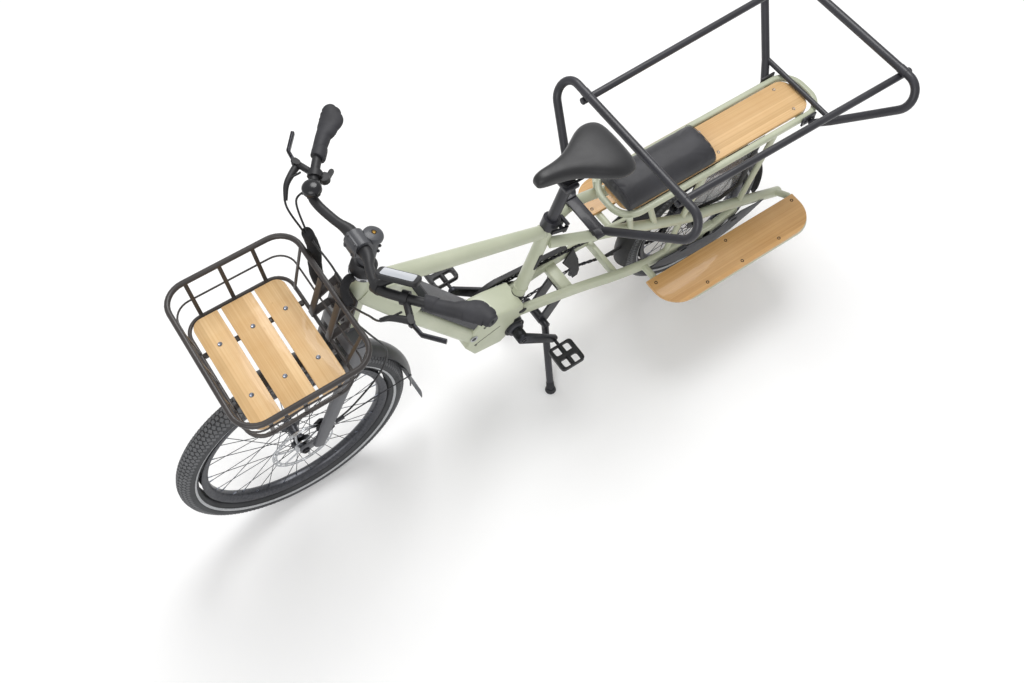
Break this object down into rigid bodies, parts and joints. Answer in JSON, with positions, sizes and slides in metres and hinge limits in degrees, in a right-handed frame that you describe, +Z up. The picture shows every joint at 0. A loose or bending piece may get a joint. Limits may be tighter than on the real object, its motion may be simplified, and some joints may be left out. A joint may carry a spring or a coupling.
{
  "type": "longtail cargo bike",
  "caption": "Longtail electric cargo bicycle on its centre stand, with a front basket, wooden rear deck, cushion, passenger grab rail and wooden footboards.",
  "frame": {"origin": "centre of the bounding box's base, on the ground under the middle of the bike's length", "axes": "+X forward, +Y to the rider's left, +Z up"},
  "size_m": [2.1864, 0.7024, 1.0915],
  "materials": {
    "frame_paint": "satin",
    "tube_black": "satin",
    "fork_paint": "satin",
    "black_plastic": "matte",
    "grey_plastic": "matte",
    "grip_rubber": "matte",
    "tyre": "matte",
    "bamboo": "satin",
    "cover": "matte",
    "lens": "gloss"
  },
  "bodies": {
    "bike": {"main_frame": "frame_paint", "battery": "grey_plastic", "drive_unit": "grey_plastic", "rear_side_left": "frame_paint", "rear_side_right": "frame_paint", "deck_rail": "frame_paint", "deck_board": "bamboo", "seat_cushion": "cover", "footrest_left": "frame_paint", "footrest_right": "frame_paint", "footboard_left": "bamboo", "footboard_right": "bamboo", "hoop_front": "tube_black", "hoop_bracket": "tube_black", "hoop_rear": "tube_black", "side_bar_left": "tube_black", "side_bar_right": "tube_black", "wheel_guard_left": "grey_plastic", "wheel_guard_right": "grey_plastic", "skirt_left": "grey_plastic", "skirt_right": "grey_plastic", "rear_fender": "black_plastic", "tail_light": "lens", "chain": "tube_black", "chain_guide": "black_plastic", "derailleur": "tube_black", "chain_guard": "black_plastic", "stand_bracket": "black_plastic", "basket_frame": "tube_black", "basket_slat_front": "bamboo", "basket_slat_middle": "bamboo", "basket_slat_rear": "bamboo", "seat_collar": "black_plastic", "cable_loom": "black_plastic"},
    "steering": {"fork": "fork_paint", "front_fender": "black_plastic", "stem": "black_plastic", "handlebar": "black_plastic", "grip_left": "grip_rubber", "grip_right": "grip_rubber", "brake_mount_left": "black_plastic", "brake_mount_right": "black_plastic", "bell": "tube_black", "display": "black_plastic"},
    "front_wheel": {"wheel_front": "tube_black", "tyre_front": "tyre"},
    "rear_wheel": {"wheel_rear": "tube_black", "tyre_rear": "tyre"},
    "crank": {"crankset": "tube_black", "crank_left": "tube_black"},
    "left_pedal": {"pedal_left": "black_plastic"},
    "right_pedal": {"pedal_right": "black_plastic"},
    "idler": {"chain_idler": "black_plastic"},
    "stand": {"stand_legs": "black_plastic"},
    "left_brake_lever": {"brake_blade_left": "black_plastic"},
    "right_brake_lever": {"brake_blade_right": "black_plastic"},
    "shift_lever": {"shift_paddle": "black_plastic"},
    "saddle_and_post": {"seat_post": "black_plastic", "saddle": "cover"},
    "clamp_lever": {"collar_lever": "black_plastic"}
  },
  "joints": [
    {"name": "steer", "type": "hinge", "parent": "bike", "child": "steering", "pos_m": [0.71545, 0, 0.2948], "axis": [-0.3665, 0, 0.9304], "range_deg": [-55, 55], "deforming": ["cable_loom"]},
    {"name": "front_wheel_spin", "type": "hinge", "parent": "steering", "child": "front_wheel", "pos_m": [0.75915, 0, 0.334], "axis": [0, 1, 0], "continuous": true},
    {"name": "rear_wheel_spin", "type": "hinge", "parent": "bike", "child": "rear_wheel", "pos_m": [-0.61485, 0, 0.258], "axis": [0, 1, 0], "continuous": true},
    {"name": "crank_spin", "type": "hinge", "parent": "bike", "child": "crank", "pos_m": [0.07815, 0, 0.305], "axis": [0, 1, 0], "continuous": true},
    {"name": "left_pedal_spin", "type": "hinge", "parent": "crank", "child": "left_pedal", "pos_m": [-0.03647, 0.142, 0.18631], "axis": [0, 1, 0], "continuous": true},
    {"name": "right_pedal_spin", "type": "hinge", "parent": "crank", "child": "right_pedal", "pos_m": [0.19277, -0.142, 0.42369], "axis": [0, 1, 0], "continuous": true},
    {"name": "idler_spin", "type": "hinge", "parent": "bike", "child": "idler", "pos_m": [-0.21285, -0.053, 0.215], "axis": [0, 1, 0], "continuous": true},
    {"name": "stand_swing", "type": "hinge", "parent": "bike", "child": "stand", "pos_m": [-0.03785, 0, 0.203], "axis": [0, 1, 0], "range_deg": [0, 98]},
    {"name": "left_brake_pull", "type": "hinge", "parent": "steering", "child": "left_brake_lever", "pos_m": [0.48525, 0.25, 1.0399], "axis": [0, 0, 1], "range_deg": [0, 22], "stiffness_Nm_per_rad": 1.2, "springref_deg": -14.32},
    {"name": "right_brake_pull", "type": "hinge", "parent": "steering", "child": "right_brake_lever", "pos_m": [0.48525, -0.25, 1.0399], "axis": [0, 0, -1], "range_deg": [0, 22], "stiffness_Nm_per_rad": 1.2, "springref_deg": -14.32},
    {"name": "shift_push", "type": "hinge", "parent": "steering", "child": "shift_lever", "pos_m": [0.45025, -0.178, 1.0204], "axis": [0, 0, 1], "range_deg": [0, 25], "stiffness_Nm_per_rad": 0.25, "springref_deg": -14.32},
    {"name": "saddle_height", "type": "slide", "parent": "bike", "child": "saddle_and_post", "axis": [-0.342, 0, 0.9397], "range_m": [-0.035, 0.12]},
    {"name": "clamp_open", "type": "hinge", "parent": "bike", "child": "clamp_lever", "pos_m": [-0.08745, 0.031, 0.6364], "axis": [-0.342, 0, 0.9397], "range_deg": [0, 100]}
  ],
  "couplings": [
    {"joint": "idler_spin", "follows": "crank_spin", "ratio": -3.5403}
  ]
}
